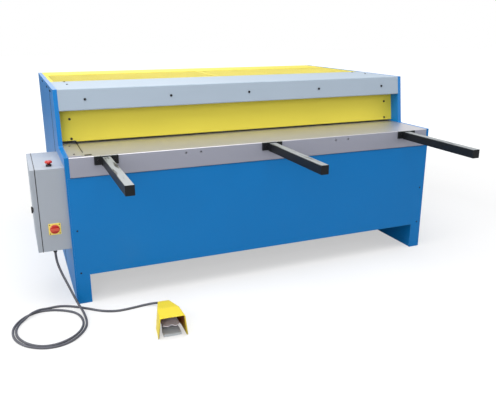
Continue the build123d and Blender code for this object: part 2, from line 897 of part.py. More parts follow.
# Cable gland under the cabinet: a hexagonal nut and a tapered cap
gland_mouth = cabinet_bottom - gland_nut_height - gland_cap_height
with BuildPart() as cable_gland:
    with BuildSketch(floor_plan(cabinet_bottom)):
        with Locations((-gland_x, gland_y)):
            RegularPolygon(gland_nut_radius, 6)
    extrude(amount=-gland_nut_height)
    with BuildSketch(floor_plan(cabinet_bottom - gland_nut_height)):
        with Locations((-gland_x, gland_y)):
            RegularPolygon(gland_cap_radius, gland_cap_sides)
    extrude(amount=-gland_cap_height)
    chamfer(cable_gland.faces().sort_by(Axis.Z)[0].edges(), length=gland_cap_chamfer)
    with BuildSketch(floor_plan(cabinet_bottom)):
        with Locations((-gland_x, gland_y)):
            RegularPolygon(gland_cap_radius, gland_cap_sides)
    extrude(amount=gland_tail)
finish_piece(cable_gland, "cable_gland")

# Foot switch, drawn in its own frame: the origin under the middle of its open front
pedal_origin = Vector(left_x + pedal_x, front_y + pedal_y, 0)
pedal_floor = Plane(pedal_origin).rotated((0, 0, pedal_turn))


def pedal_plan(z):
    """A level plane of the foot switch at this height."""
    return pedal_floor.offset(z)


def pedal_front(y):
    """An upright plane across the foot switch at this distance behind its front."""
    origin = pedal_floor.from_local_coords(Vector(0, y, 0))
    return Plane(origin, x_dir=pedal_floor.x_dir, z_dir=-pedal_floor.y_dir)


def pedal_side(x):
    """An upright plane along the foot switch at this distance from its middle."""
    origin = pedal_floor.from_local_coords(Vector(x, 0, 0))
    return Plane(origin, x_dir=pedal_floor.y_dir, z_dir=pedal_floor.x_dir)


def hood_section(y, foot, roof, height, inner):
    """The hood's outline across the foot switch, with sides that lean in to a rounded roof."""
    with BuildSketch(pedal_front(y)) as section:
        with BuildLine():
            Polyline((-foot / 2, 0), (-roof / 2, height), (roof / 2, height), (foot / 2, 0), close=True)
        make_face()
        roof_corners = section.vertices().group_by(Axis.Y)[-1]
        if inner:
            chamfer(roof_corners, length=hood_edge - hood_wall)
        else:
            fillet(roof_corners, radius=hood_edge)
    return section.sketch


def hood_sections(inset):
    """The moulded body's three sections, smaller all round by the inset."""
    stations = [
        (-inset, hood_front_width, hood_roof_width, hood_front_height),
        (hood_middle_y, hood_middle_width, hood_middle_roof, hood_middle_height),
        (hood_length - inset, hood_rear_width, hood_rear_roof, hood_rear_height),
    ]
    return [
        hood_section(y, foot - 2 * inset, roof - 2 * inset, height - inset, inner=inset > 0)
        for y, foot, roof, height in stations
    ]


with BuildPart() as pedal_hood:
    loft(hood_sections(0), ruled=True)
    loft(hood_sections(hood_wall), ruled=True, mode=Mode.SUBTRACT)
    with BuildSketch(pedal_front(hood_length)):
        with Locations((0, pedal_gland_height)):
            Circle(pedal_gland_radius)
    extrude(amount=2 * hood_wall, mode=Mode.SUBTRACT)
finish_piece(pedal_hood, "pedal_hood")

with BuildPart() as pedal_base:
    base_rear = hood_length - hood_wall
    with BuildSketch(pedal_plan(0)):
        with Locations((0, base_rear - pedal_base_length / 2)):
            RectangleRounded(pedal_base_width, pedal_base_length, pedal_base_corner)
    extrude(amount=pedal_base_height)
    for side in (-1, 1):
        cheek_x = side * (pedal_base_width - pedal_cheek) / 2
        with BuildSketch(pedal_side(cheek_x - pedal_cheek / 2)):
            with Locations((pivot_y, pivot_height / 2)):
                Rectangle(2 * pivot_boss_radius, pivot_height)
            with Locations((pivot_y, pivot_height)):
                Circle(pivot_boss_radius)
                Circle(pivot_radius, mode=Mode.SUBTRACT)
        extrude(amount=pedal_cheek)
finish_piece(pedal_base, "pedal_base")

with BuildPart() as pedal_pin:
    with BuildSketch(pedal_side(-pedal_base_width / 2)):
        with Locations((pivot_y, pivot_height)):
            Circle(pivot_radius)
    extrude(amount=pedal_base_width)
finish_piece(pedal_pin, "pedal_pin")

# Treadle, a pressed sheet with turned-down sides, a waved front edge and a barrel on the pin
treadle_half = pedal_base_width / 2 - pedal_cheek - treadle_clearance
treadle_rear = pivot_y
treadle_z = pivot_height + treadle_lift
with BuildPart() as pedal_treadle:
    with BuildSketch(pedal_plan(treadle_z)):
        with BuildLine():
            back = Line((treadle_half, treadle_rear), (-treadle_half, treadle_rear))
            left_edge = Line(back @ 1, (-treadle_half, treadle_front))
            wave = Spline(
                left_edge @ 1,
                (-treadle_half / 2, treadle_front - treadle_notch / 2),
                (0, treadle_front + treadle_notch / 2),
                (treadle_half / 2, treadle_front - treadle_notch / 2),
                (treadle_half, treadle_front),
            )
            Line(wave @ 1, back @ 0)
        make_face()
    extrude(amount=-treadle_sheet)
    for side in (-1, 1):
        with BuildSketch(pedal_side(side * (treadle_half - treadle_sheet / 2) - treadle_sheet / 2)):
            with BuildLine():
                Polyline(
                    (treadle_front + treadle_side, treadle_z),
                    (treadle_rear, treadle_z),
                    (treadle_rear, treadle_z - treadle_side),
                    (treadle_front + 2 * treadle_side, treadle_z - treadle_side),
                    close=True,
                )
            make_face()
        extrude(amount=treadle_sheet)
    with BuildSketch(pedal_side(-treadle_half)):
        with Locations((pivot_y, pivot_height)):
            Circle(pivot_boss_radius)
    extrude(amount=2 * treadle_half)
    with BuildSketch(pedal_side(-treadle_half)):
        with Locations((pivot_y, pivot_height)):
            Circle(pivot_radius + running_gap)
    extrude(amount=2 * treadle_half, mode=Mode.SUBTRACT)
finish_piece(pedal_treadle, "pedal_treadle")

pedal_gland_y = hood_length + pedal_gland_length
with BuildPart() as pedal_gland:
    with BuildSketch(pedal_front(base_rear)):
        with Locations((0, pedal_gland_height)):
            Circle(pedal_gland_radius)
    extrude(amount=-(pedal_gland_length + hood_wall))
    mouth_rim = pedal_gland.edges().filter_by(GeomType.CIRCLE).sort_by(Axis.Y)[-1]
    chamfer(mouth_rim, length=gland_cap_chamfer)
finish_piece(pedal_gland, "pedal_gland")


# Cable: it hangs from the cabinet, lies in a loose loop of two turns and runs to the foot switch
def place(points):
    """Cable points given from the machine's left, front and floor, in the part's own frame."""
    return [Vector(left_x + x, front_y + y, z) for x, y, z in points]


cable_rest = cable_diameter / 2
drop_route = place([
    (-88, 50, 315),
    (-88, 50, 270),
    (-72, 28, 206),
    (-42, -14, 134),
    (-20, -44, 78),
    (-1, -72, 32),
    (14, -112, cable_rest + 2),
    (18, -176, cable_rest),
])
lead_route = place([
    (-170, 6, cable_rest),
    (-104, 4, cable_rest),
    (-38, -26, cable_rest),
    (42, -86, cable_rest),
    (112, -150, cable_rest),
    (190, -184, cable_rest),
    (272, -180, cable_rest),
    (338, -170, cable_rest),
    (404, -178, cable_rest + 6),
])
gland_axis = Vector(0, pedal_gland_height, 0)
for beyond_gland in (pedal_gland_straight, 0):
    lead_route.append(pedal_front(pedal_gland_y + beyond_gland).from_local_coords(gland_axis))


def cable_tube(name, route):
    """A tube along straight runs joined by arcs as large as the runs allow."""
    radii = []
    for before, corner, after in zip(route, route[1:], route[2:]):
        turn = math.radians((corner - before).get_angle(after - corner))
        shorter = min((corner - before).length, (after - corner).length)
        radii.append(0.45 * shorter / math.tan(turn / 2))
    print(name, "bend radii", [round(radius) for radius in radii])
    with BuildPart() as tube:
        with BuildLine() as path:
            FilletPolyline(*route, radius=radii)
        with BuildSketch(Plane(path.line @ 0, z_dir=path.line % 0)) as section:
            RegularPolygon(cable_diameter / 2, cable_facets)
        sweep()
    area = section.sketch.area
    length = sum(edge.length for edge in path.edges())
    print(name, "length", round(length), "fill", round(tube.part.volume / area / length, 3))
    finish_piece(tube, name)


cable_tube("cable_drop", drop_route)
cable_tube("cable_lead", lead_route)

# The loop's outer shape, a low oval ring that the two turns lie in
loop_x = -162
loop_y = -214
loop_half_width = 184
loop_half_length = 216
loop_band = 30
loop_height = 15
with BuildPart() as cable_coil:
    with BuildSketch(floor_plan(0)):
        with Locations((loop_x, loop_y)):
            Ellipse(loop_half_width, loop_half_length)
            Ellipse(loop_half_width - loop_band, loop_half_length - loop_band, mode=Mode.SUBTRACT)
    extrude(amount=loop_height)
finish_piece(cable_coil, "cable_coil")

print(len(finished), "pieces")
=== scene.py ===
"""Finishes and small parts of an electric sheet-metal shear, built around its CAD model."""

import math

import bpy
from mathutils import Matrix, Vector


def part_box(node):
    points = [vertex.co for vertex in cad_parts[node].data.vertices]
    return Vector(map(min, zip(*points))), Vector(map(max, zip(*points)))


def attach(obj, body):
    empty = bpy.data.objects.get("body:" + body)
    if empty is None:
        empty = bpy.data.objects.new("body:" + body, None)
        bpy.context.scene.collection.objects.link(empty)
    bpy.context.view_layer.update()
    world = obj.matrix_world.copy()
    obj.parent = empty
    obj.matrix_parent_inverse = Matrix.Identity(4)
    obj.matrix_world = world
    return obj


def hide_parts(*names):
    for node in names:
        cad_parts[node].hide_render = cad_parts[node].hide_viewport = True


bl_info = {
    "name": "Sheet-metal shear",
    "version": (1, 0, 0),
    "blender": (4, 5, 0),
    "location": "View3D > Sidebar > Shear",
    "description": "Dresses the CAD model of a sheet-metal shear with its finishes and small parts",
    "category": "Object",
}

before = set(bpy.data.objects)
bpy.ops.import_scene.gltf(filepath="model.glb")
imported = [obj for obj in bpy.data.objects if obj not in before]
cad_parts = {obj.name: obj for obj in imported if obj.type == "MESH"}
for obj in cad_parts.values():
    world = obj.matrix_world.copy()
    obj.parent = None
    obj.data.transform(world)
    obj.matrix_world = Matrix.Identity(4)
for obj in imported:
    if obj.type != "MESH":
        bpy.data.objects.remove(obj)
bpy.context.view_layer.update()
MM = 0.001

# The machine's own corner, from which the small parts are measured
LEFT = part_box("left_side_plate")[0].x
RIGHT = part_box("right_side_plate")[1].x
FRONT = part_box("left_side_plate")[0].y
WIDTH = (RIGHT - LEFT) / MM

# The side plates' slanted edge, in mm: where it starts, how far up it goes and how far back it leans
SLANT_FOOT_Y, SLANT_FOOT_Z = 306, 855
SLANT_RISE, SLANT_LEAN = 325, 46
SLANT_AXIS = Vector((0, -SLANT_RISE, SLANT_LEAN)).normalized()

# The foot switch stands turned a little away from the machine
PEDAL_PLACE = (410, -560, 0)
PEDAL_TURN = math.radians(-4)

# How deep a screw or bolt head is sunk into what it holds
SUNK = 0.5 * MM


def spot(x, y, z):
    """A point in the shared frame, given in mm from the machine's left side, front and floor."""
    return Vector((LEFT + x * MM, FRONT + y * MM, z * MM))


def linear(code):
    """The linear red, green and blue of an sRGB hex colour."""
    parts = [int(code[start:start + 2], 16) / 255 for start in (1, 3, 5)]
    return tuple(part / 12.92 if part <= 0.04045 else ((part + 0.055) / 1.055) ** 2.4 for part in parts)


def colour_setting(name, description, code):
    """A colour that a user may change."""
    return bpy.props.FloatVectorProperty(
        name=name, description=description, subtype="COLOR", size=3, min=0, max=1, default=linear(code))


def size_setting(name, description, millimetres):
    """A length that a user may change."""
    return bpy.props.FloatProperty(
        name=name, description=description, unit="LENGTH", min=0, default=millimetres * MM)


class ShearColours(bpy.types.PropertyGroup):
    """Colours of the machine's paints, metals and plastics."""

    frame_blue: colour_setting("Frame blue", "Enamel on the front panel and the side plates", "#0476BE")
    cover_grey: colour_setting("Cover grey", "Enamel on the cover over the blade beam", "#A3B1BF")
    guard_yellow: colour_setting("Guard yellow", "Enamel on the finger guard and the mesh guards", "#E0D14E")
    table_steel: colour_setting("Table steel", "Planed steel of the work table", "#C2C1C6")
    # Painted reflection: the lavender grey that the steel apron's front face shows
    apron_painted_reflection: colour_setting("Apron grey", "Face of the work table's front apron", "#9A9CAA")
    arm_black: colour_setting("Arm black", "Paint on the support arms", "#0F1216")
    cabinet_grey: colour_setting("Cabinet grey", "Powder coat on the electrical cabinet", "#A2A9B3")
    switch_yellow: colour_setting("Switch yellow", "Plate behind the main switch", "#F5DF6E")
    switch_red: colour_setting("Switch red", "Main switch knob and stop button", "#B8261A")
    pedal_yellow: colour_setting("Foot switch yellow", "Moulded hood of the foot switch", "#EED62E")
    # Painted shade: the brown mixed into the hood's inner walls where they are hollow
    pedal_inside_painted_shade: colour_setting("Foot switch inside", "Shaded inner walls of the hood", "#8A4420")
    pedal_grey: colour_setting("Foot switch grey", "Cast base of the foot switch", "#C6CCD0")
    cable_grey: colour_setting("Cable grey", "Sheath of the foot switch cable", "#4A4B53")


class ShearSizes(bpy.types.PropertyGroup):
    """Sizes of the small parts that the CAD model leaves out."""

    mesh_pitch: size_setting("Mesh pitch", "Distance between the guard mesh's wires", 18)
    wire_diameter: size_setting("Wire diameter", "Thickness of the guard mesh's wires", 2.6)
    cover_bolt: size_setting("Cover bolt", "Diameter of the bolt heads on the cover", 15)
    guard_bolt: size_setting("Guard bolt", "Diameter of the bolt heads on the finger guard", 15)
    side_bolt: size_setting("Side bolt", "Diameter of the bolt heads on the side plates", 14)
    arm_bolt: size_setting("Arm bolt", "Diameter of the bolt heads on the arm flanges", 16)
    panel_screw: size_setting("Panel screw", "Diameter of the screw heads on the front panel", 10)
    weld_leg: size_setting("Weld leg", "Width of the weld between an arm and its flange", 6)
    edge_radius: size_setting("Edge radius", "Rounding that the paint gives to sheet edges", 1.5)
    cable_diameter: size_setting("Cable diameter", "Thickness of the foot switch cable", 13)


def add_node(tree, kind, settings=None, values=None, links=None, feeds=None):
    """Add a node with its settings and socket values, linked from and to other nodes."""
    node = tree.nodes.new(kind)
    for key, value in (settings or {}).items():
        setattr(node, key, value)
    for key, value in (values or {}).items():
        node.inputs[key].default_value = value
    for key, (source, output) in (links or {}).items():
        tree.links.new(source.outputs[output], node.inputs[key])
    for key, (target, entry) in (feeds or {}).items():
        tree.links.new(node.outputs[key], target.inputs[entry])
    return node


def tone(colour, factor):
    """A colour made lighter or darker, with its alpha."""
    return tuple(min(1, part * factor) for part in colour) + (1,)


def start_material(name, edge, sockets):
    """A material whose shader has these constant sockets and whose edges shade as if rounded."""
    material = bpy.data.materials.new(name)
    material.use_nodes = True
    tree = material.node_tree
    tree.nodes.clear()
    shader = add_node(tree, "ShaderNodeBsdfPrincipled", values=sockets)
    add_node(tree, "ShaderNodeOutputMaterial", links={"Surface": (shader, "BSDF")})
    edges = add_node(tree, "ShaderNodeBevel", {"samples": 6}, {"Radius": edge}, feeds={0: (shader, "Normal")})
    places = add_node(tree, "ShaderNodeTexCoord")
    return material, tree, shader, edges, places


# Noise of one metre's scale has one lump in a metre, so a pattern's scale is one over its size
def per_metre(millimetres):
    """The texture scale at which a pattern repeats about every so many millimetres."""
    return 1 / (millimetres * MM)


def sprayed_enamel(name, colour, edge, roughness=0.3, worn=0.25, gloss=0.3):
    """Semi-gloss enamel sprayed on steel sheet."""
    # Sprayed enamel has a clear shine, faintly rippled like orange peel, and its edges are painted a paler
    # rim: partly thin, worn enamel there, partly a painted highlight
    material, tree, shader, edges, places = start_material(
        name, edge, {"Roughness": roughness, "IOR": 1.5, "Specular IOR Level": gloss})
    drift = add_node(
        tree, "ShaderNodeTexNoise", values={"Scale": per_metre(450), "Detail": 3},
        links={"Vector": (places, "Object")})
    body = add_node(
        tree, "ShaderNodeMix", {"data_type": "RGBA"}, {6: tone(colour, 0.94), 7: tone(colour, 1.04)},
        links={"Factor": (drift, 0)})
    facing = add_node(tree, "ShaderNodeNewGeometry")
    turned_away = add_node(
        tree, "ShaderNodeVectorMath", {"operation": "DOT_PRODUCT"},
        links={0: (edges, 0), 1: (facing, "True Normal")})
    # The paler rim along the edges is partly edge wear and partly painted highlight
    rim = add_node(
        tree, "ShaderNodeMapRange", values={"From Min": 0.995, "From Max": 0.9, "To Min": 0, "To Max": worn},
        links={"Value": (turned_away, "Value")})
    pale = tuple(part + (1 - part) * 0.5 for part in colour) + (1,)
    add_node(
        tree, "ShaderNodeMix", {"data_type": "RGBA"}, {7: pale},
        {"Factor": (rim, 0), 6: (body, 2)}, {2: (shader, "Base Color")})
    # Orange peel is about 2 mm across, drawn at 5 mm so that it shows
    peel = add_node(
        tree, "ShaderNodeTexNoise", values={"Scale": per_metre(5), "Detail": 1},
        links={"Vector": (places, "Object")})
    add_node(
        tree, "ShaderNodeBump", values={"Strength": 0.12, "Distance": 0.2 * MM},
        links={"Height": (peel, 0), "Normal": (edges, 0)}, feeds={0: (shader, "Normal")})
    return material


def planed_table_steel(name, steel, apron, edge):
    """Planed and ground steel plate, with a front apron that is only rough machined; the apron's darker
    lavender grey is a painted reflection.
    """
    # Grinding leaves long fine streaks along the table, so the guard behind it mirrors as a soft band
    material, tree, shader, edges, places = start_material(name, edge, {"IOR": 1.5})
    grind = add_node(
        tree, "ShaderNodeMapping", values={"Scale": (per_metre(600), per_metre(9), per_metre(9))},
        links={"Vector": (places, "Object")})
    streaks = add_node(
        tree, "ShaderNodeTexNoise", values={"Scale": 1, "Detail": 4}, links={"Vector": (grind, 0)})
    ground = add_node(
        tree, "ShaderNodeMix", {"data_type": "RGBA"}, {6: tone(steel, 0.86), 7: tone(steel, 1.08)},
        links={"Factor": (streaks, 0)})
    # The apron is the face that looks to the front; its lavender grey there is a painted reflection
    facing = add_node(tree, "ShaderNodeNewGeometry")
    sides = add_node(tree, "ShaderNodeSeparateXYZ", links={0: (facing, "True Normal")})
    front = add_node(
        tree, "ShaderNodeMapRange", values={"From Min": -0.8, "From Max": -0.95, "To Min": 0, "To Max": 1},
        links={"Value": (sides, "Y")})
    add_node(
        tree, "ShaderNodeMix", {"data_type": "RGBA"}, {7: apron + (1,)},
        {"Factor": (front, 0), 6: (ground, 2)}, {2: (shader, "Base Color")})
    add_node(
        tree, "ShaderNodeMapRange", values={"To Min": 0.85, "To Max": 0.15}, links={"Value": (front, 0)},
        feeds={0: (shader, "Metallic")})
    shine = add_node(
        tree, "ShaderNodeMapRange", values={"To Min": 0.36, "To Max": 0.5}, links={"Value": (streaks, 0)})
    add_node(
        tree, "ShaderNodeMix", values={3: 0.5}, links={"Factor": (front, 0), 2: (shine, 0)},
        feeds={0: (shader, "Roughness")})
    add_node(
        tree, "ShaderNodeBump", values={"Strength": 0.15, "Distance": 0.1 * MM},
        links={"Height": (streaks, 0), "Normal": (edges, 0)}, feeds={0: (shader, "Normal")})
    return material


def bare_steel(name, colour, roughness, edge, metallic=1):
    """Bare metal, ground, plated or anodised, with a satin shine."""
    # Satin metal spreads its highlight unevenly, in soft patches a few centimetres wide
    material, tree, shader, _, places = start_material(
        name, edge, {"Metallic": metallic, "Base Color": tone(colour, 1)})
    patches = add_node(
        tree, "ShaderNodeTexNoise", values={"Scale": per_metre(30), "Detail": 4},
        links={"Vector": (places, "Object")})
    add_node(
        tree, "ShaderNodeMapRange", values={"To Min": roughness - 0.08, "To Max": roughness + 0.08},
        links={"Value": (patches, 0)}, feeds={0: (shader, "Roughness")})
    return material


def blackened_steel(name, edge):
    """Steel fasteners and shoes with a black oxide finish."""
    # Black oxide is a thin dark skin: nearly black, but it still shines like metal where light grazes it
    return start_material(
        name, edge, {"Metallic": 0.7, "Roughness": 0.42, "Base Color": linear("#242326") + (1,)})[0]


def arm_paint(name, colour, edge):
    """Black paint on the support arms."""
    # Sheets slide along the arms, so their tops are scraped lengthways down to bright steel
    material, tree, shader, _, places = start_material(
        name, edge, {"IOR": 1.5, "Specular IOR Level": 0.3})
    scrape = add_node(
        tree, "ShaderNodeMapping", values={"Scale": (per_metre(14), per_metre(180), per_metre(14))},
        links={"Vector": (places, "Object")})
    scratches = add_node(
        tree, "ShaderNodeTexNoise", values={"Scale": 1, "Detail": 5}, links={"Vector": (scrape, 0)})
    facing = add_node(tree, "ShaderNodeNewGeometry")
    sides = add_node(tree, "ShaderNodeSeparateXYZ", links={0: (facing, "True Normal")})
    upward = add_node(
        tree, "ShaderNodeMapRange", values={"From Min": 0.6, "From Max": 0.95}, links={"Value": (sides, "Z")})
    bare = add_node(
        tree, "ShaderNodeMapRange", values={"From Min": 0.34, "From Max": 0.46},
        links={"Value": (scratches, 0)})
    worn = add_node(
        tree, "ShaderNodeMath", {"operation": "MULTIPLY"}, links={0: (upward, 0), 1: (bare, 0)})
    add_node(
        tree, "ShaderNodeMapRange", values={"To Min": 0, "To Max": 0.6}, links={"Value": (worn, 0)},
        feeds={0: (shader, "Metallic")})
    add_node(
        tree, "ShaderNodeMix", {"data_type": "RGBA"}, {6: colour + (1,), 7: linear("#9DA2A5") + (1,)},
        {"Factor": (worn, 0)}, {2: (shader, "Base Color")})
    add_node(
        tree, "ShaderNodeMapRange", values={"To Min": 0.45, "To Max": 0.5}, links={"Value": (worn, 0)},
        feeds={0: (shader, "Roughness")})
    return material


def powder_coat(name, colour, edge):
    """Fine-textured powder coat on the cabinet's folded sheet."""
    # Textured powder coat is baked into a fine leathery grain, which breaks its shine up
    material, tree, shader, edges, places = start_material(
        name, edge, {"Roughness": 0.5, "IOR": 1.5, "Base Color": colour + (1,)})
    # The grain is about 1 mm across, drawn at 3 mm so that it shows
    grain = add_node(
        tree, "ShaderNodeTexNoise", values={"Scale": per_metre(3), "Detail": 2},
        links={"Vector": (places, "Object")})
    add_node(
        tree, "ShaderNodeBump", values={"Strength": 0.3, "Distance": 0.2 * MM},
        links={"Height": (grain, 0), "Normal": (edges, 0)}, feeds={0: (shader, "Normal")})
    return material


def moulded_plastic(name, colour, roughness, edge):
    """Injection-moulded plastic: ABS hood and plate, polycarbonate knobs, nylon collars."""
    # Moulded plastic copies the mould's fine etching, so it is smooth but not mirror bright
    material, tree, shader, edges, places = start_material(
        name, edge, {"Roughness": roughness, "IOR": 1.53, "Base Color": tone(colour, 1)})
    etching = add_node(
        tree, "ShaderNodeTexNoise", values={"Scale": per_metre(1.5), "Detail": 1},
        links={"Vector": (places, "Object")})
    add_node(
        tree, "ShaderNodeBump", values={"Strength": 0.15, "Distance": 0.05 * MM},
        links={"Height": (etching, 0), "Normal": (edges, 0)}, feeds={0: (shader, "Normal")})
    return material


def hood_plastic(name, colour, hood_painted_shade, edge):
    """Yellow ABS of the foot switch's hood, with painted brown shade on its inner walls."""
    # The hood's inner walls get painted brown shade, whose strength follows how hollow a place is
    material, tree, shader, edges, places = start_material(name, edge, {"Roughness": 0.38, "IOR": 1.53})
    hollow = add_node(
        tree, "ShaderNodeAmbientOcclusion", {"samples": 8, "only_local": True}, {"Distance": 170 * MM})
    depth = add_node(
        tree, "ShaderNodeMapRange", values={"From Min": 0.88, "From Max": 0.6},
        links={"Value": (hollow, "AO")})
    add_node(
        tree, "ShaderNodeMix", {"data_type": "RGBA"}, {6: colour + (1,), 7: hood_painted_shade + (1,)},
        {"Factor": (depth, 0)}, {2: (shader, "Base Color")})
    etching = add_node(
        tree, "ShaderNodeTexNoise", values={"Scale": per_metre(2), "Detail": 1},
        links={"Vector": (places, "Object")})
    add_node(
        tree, "ShaderNodeBump", values={"Strength": 0.15, "Distance": 0.05 * MM},
        links={"Height": (etching, 0), "Normal": (edges, 0)}, feeds={0: (shader, "Normal")})
    return material


def cable_sheath(name, colour):
    """Soft extruded PVC of the cable's sheath."""
    # Soft PVC has a dull shine and holds dust in patches a hand's breadth apart
    material, tree, shader, _, places = start_material(name, 0.5 * MM, {"Roughness": 0.5, "IOR": 1.53})
    dust = add_node(
        tree, "ShaderNodeTexNoise", values={"Scale": per_metre(60), "Detail": 4},
        links={"Vector": (places, "Object")})
    add_node(
        tree, "ShaderNodeMix", {"data_type": "RGBA"}, {6: tone(colour, 0.85), 7: tone(colour, 1.35)},
        {"Factor": (dust, 0)}, {2: (shader, "Base Color")})
    return material


def paint(material, *nodes):
    """Give CAD nodes their finish."""
    for name in nodes:
        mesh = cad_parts[name].data
        mesh.materials.clear()
        mesh.materials.append(material)


def make_piece(name, shape, material, body="frame", smooth=False):
    """A mesh object from its vertices and faces, riding on a CAD body."""
    vertices, faces = shape
    mesh = bpy.data.meshes.new(name)
    mesh.from_pydata([tuple(vertex) for vertex in vertices], [], faces)
    mesh.materials.append(material)
    mesh.polygons.foreach_set("use_smooth", [smooth] * len(mesh.polygons))
    mesh.update()
    piece = bpy.data.objects.new(name, mesh)
    bpy.context.scene.collection.objects.link(piece)
    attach(piece, body)
    return piece


def join_shapes(*shapes):
    """Several shapes as one list of vertices and one list of faces."""
    vertices, faces = [], []
    for part_vertices, part_faces in shapes:
        start = len(vertices)
        vertices.extend(part_vertices)
        faces.extend([start + index for index in face] for face in part_faces)
    return vertices, faces


def turned(rings, segments=24):
    """A closed shape turned about Z: rings of height, radius and number of flats, none being round."""
    vertices, faces = [], []
    for height, radius, flats in rings:
        for step in range(segments):
            angle = 2 * math.pi * step / segments
            reach = radius
            if flats:
                half = math.pi / flats
                reach = radius * math.cos(half) / math.cos((angle % (2 * half)) - half)
            vertices.append(Vector((reach * math.cos(angle), reach * math.sin(angle), height)))
    for level in range(len(rings) - 1):
        for step in range(segments):
            here, ahead = level * segments + step, level * segments + (step + 1) % segments
            faces.append([here, ahead, ahead + segments, here + segments])
    last = (len(rings) - 1) * segments
    faces.append(list(reversed(range(segments))))
    faces.append([last + step for step in range(segments)])
    return vertices, faces


def set_at(shape, place, axis):
    """The shape moved to a place, with its Z turned to an axis."""
    matrix = Matrix.Translation(place) @ Vector(axis).to_track_quat("Z", "Y").to_matrix().to_4x4()
    return [matrix @ vertex for vertex in shape[0]], shape[1]


def block(low, high):
    """A rectangular block between two corners."""
    vertices = [Vector((x, y, z)) for z in (low.z, high.z) for y in (low.y, high.y) for x in (low.x, high.x)]
    faces = [[0, 2, 3, 1], [4, 5, 7, 6], [0, 1, 5, 4], [2, 6, 7, 3], [0, 4, 6, 2], [1, 3, 7, 5]]
    return vertices, faces


def socket_screw(diameter):
    """A cap screw with a hexagon socket, sunk a little into what it holds."""
    radius, height, bevel = diameter / 2, diameter * 0.32, diameter * 0.05
    return turned([
        (-SUNK, radius, 0),
        (height - bevel, radius, 0),
        (height, radius - bevel, 0),
        (height, radius * 0.55, 6),
        (height * 0.35, radius * 0.55, 6),
    ])


def hex_bolt(diameter):
    """A hexagon head on a round washer."""
    radius = diameter / 2
    return turned([
        (-SUNK, radius, 0),
        (diameter * 0.08, radius, 0),
        (diameter * 0.08, radius * 0.8, 6),
        (diameter * 0.36, radius * 0.8, 6),
        (diameter * 0.42, radius * 0.66, 0),
    ])


def pan_screw(diameter):
    """A low domed head with a small hexagon socket."""
    radius, height = diameter / 2, diameter * 0.28
    return turned([
        (-SUNK, radius, 0),
        (height * 0.5, radius, 0),
        (height * 0.85, radius * 0.8, 0),
        (height, radius * 0.45, 0),
        (height, radius * 0.32, 6),
        (height * 0.4, radius * 0.32, 6),
    ])


def slant_y(z):
    """How far behind the front the side plates' slanted edge is at this height, in mm."""
    return SLANT_FOOT_Y + (z - SLANT_FOOT_Z) * SLANT_LEAN / SLANT_RISE


class ShearOperator:
    """What every operator of the shear shares."""

    bl_options = {"REGISTER", "UNDO"}

    def settings(self, context):
        """The colours and sizes of the machine."""
        return context.scene.shear_colours, context.scene.shear_sizes


# Places in mm, across from the left side, back from the front and up from the floor
SIDE_BOLT_PLACES = ((512, 1158), (782, 1158), (1225, 1158))
PANEL_FACE, PANEL_SCREW_X, PANEL_SCREW_Z = -3, (35, 2365), (188, 441)
SEAM_FRONT, SEAM_REAR, SEAM_LOW, SEAM_TOP = 600.2, 609, 4, 1176
SEAM_PROUD, SEAM_DEPTH = 1.2, 3


class SHEAR_OT_steel_frame(ShearOperator, bpy.types.Operator):
    """Paint the side plates, legs, front panel and hidden beams, and add their bolts and screws"""

    bl_idname = "shear.steel_frame"
    bl_label = "Steel frame"

    def execute(self, context):
        colours, sizes = self.settings(context)
        enamel = sprayed_enamel("blue sprayed enamel", tuple(colours.frame_blue), sizes.edge_radius)
        paint(enamel, "left_side_plate", "right_side_plate", "left_side_cover", "right_side_cover",
              "left_leg_box", "right_leg_box", "front_panel", "table_bed", "rear_crossbeam", "chute_plate",
              "blade_beam", "hold_down_beam")
        black = blackened_steel("black oxide steel", 0.5 * MM)
        paint(black, "hold_down_feet", "back_gauge", "gauge_clamp")
        side_bolts = []
        for y, z in SIDE_BOLT_PLACES:
            for x, out in ((0, -1), (WIDTH, 1)):
                side_bolts.append(set_at(socket_screw(sizes.side_bolt), spot(x, y, z), (out, 0, 0)))
        make_piece("side_bolts", join_shapes(*side_bolts), black)
        # Black strips at the side seams: painted shade for the dark gap where each side cover meets its side
        # plate
        rubber = moulded_plastic("black seam painted shade", linear("#1B1C22"), 0.6, 0.3 * MM)
        seams = []
        for near, far in ((-SEAM_PROUD, SEAM_DEPTH), (WIDTH - SEAM_DEPTH, WIDTH + SEAM_PROUD)):
            seams.append(block(spot(near, SEAM_FRONT, SEAM_LOW), spot(far, SEAM_REAR, SEAM_TOP)))
        make_piece("side_seam_painted_shade", join_shapes(*seams), rubber)
        screws = []
        for z in PANEL_SCREW_Z:
            for x in PANEL_SCREW_X:
                screws.append(set_at(pan_screw(sizes.panel_screw), spot(x, PANEL_FACE, z), (0, -1, 0)))
        make_piece("panel_screws", join_shapes(*screws), black)
        return {"FINISHED"}


GAUGE_SCREW_PLACES, GAUGE_SCREW = ((61, 60, 859), (61, 300, 859)), 9 * MM
GROOVE_SHADE_CORNERS = ((109.2, 111, 849.5), (114.8, 469, 853.5))


class SHEAR_OT_work_table(ShearOperator, bpy.types.Operator):
    """Finish the work table, its side gauge and the blades"""

    bl_idname = "shear.work_table"
    bl_label = "Work table"

    def execute(self, context):
        colours, sizes = self.settings(context)
        table = planed_table_steel(
            "planed steel plate", tuple(colours.table_steel), tuple(colours.apron_painted_reflection), sizes.edge_radius)
        paint(table, "work_table", "side_gauge")
        ground = bare_steel("ground tool steel", tuple(colours.table_steel), 0.26, 0.5 * MM)
        paint(ground, "lower_blade", "upper_blade")
        black = bpy.data.materials["black oxide steel"]
        screws = [set_at(socket_screw(GAUGE_SCREW), spot(*place), (0, 0, 1)) for place in GAUGE_SCREW_PLACES]
        make_piece("gauge_screws", join_shapes(*screws), black)
        # A black block along the bottom of the gauge groove: painted shade for the groove's dark inside
        key = block(*(spot(*corner) for corner in GROOVE_SHADE_CORNERS))
        make_piece("groove_painted_shade", key, black)
        return {"FINISHED"}


